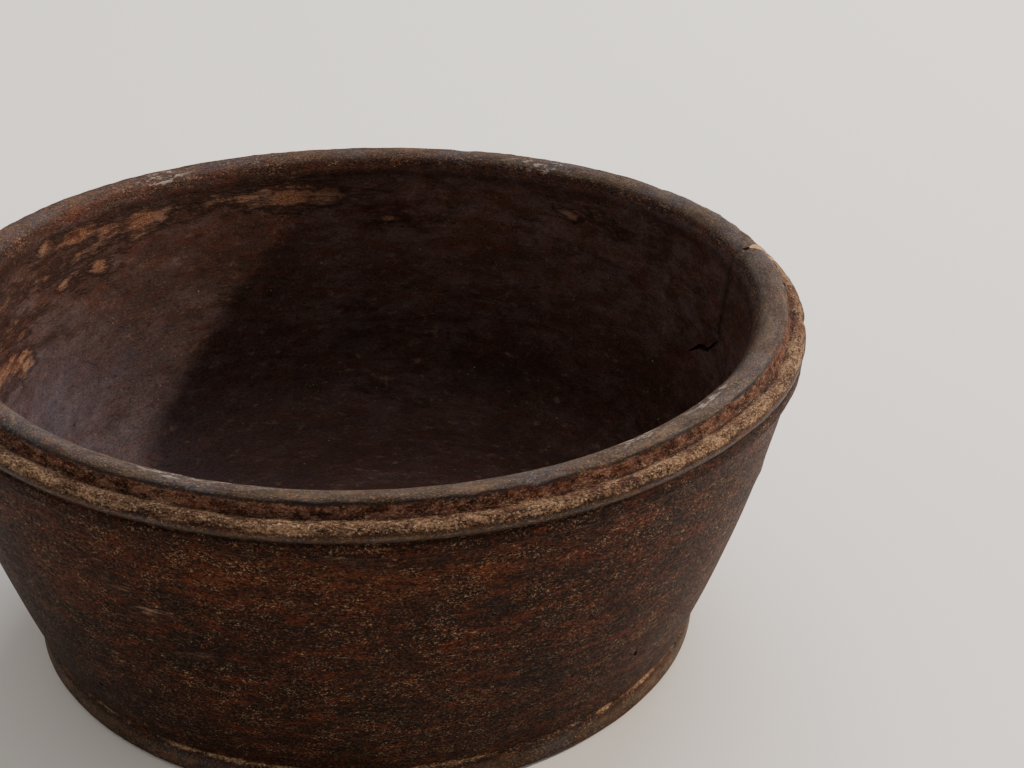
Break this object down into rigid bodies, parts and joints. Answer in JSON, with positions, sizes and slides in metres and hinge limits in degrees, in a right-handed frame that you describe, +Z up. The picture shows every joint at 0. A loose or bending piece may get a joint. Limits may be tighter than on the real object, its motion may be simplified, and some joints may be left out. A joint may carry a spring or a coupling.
{
  "type": "turned wooden bowl",
  "caption": "Deep round wooden bowl with a heavy moulded rim, a tapering wall, a foot ring and a filled drying split.",
  "frame": {"origin": "centre of the foot ring's bearing face, on the surface that the bowl stands on", "axes": "+Z up along the turning axis, towards the open mouth; +X and +Y in the standing plane, with the drying split 10 degrees from +X towards +Y"},
  "size_m": [0.3, 0.3, 0.122],
  "materials": {
    "old_wood": "worn dark patina, dusty in the hollows and rubbed to a dull sheen on the edges",
    "pitch": "dark brown hardened pitch, slightly glossy",
    "bare_wood": "bare pale wood, dry and dusty"
  },
  "bodies": {
    "root": {"bowl_body": "old_wood", "split_pitch": "pitch", "split_sliver": "bare_wood"}
  },
  "joints": []
}
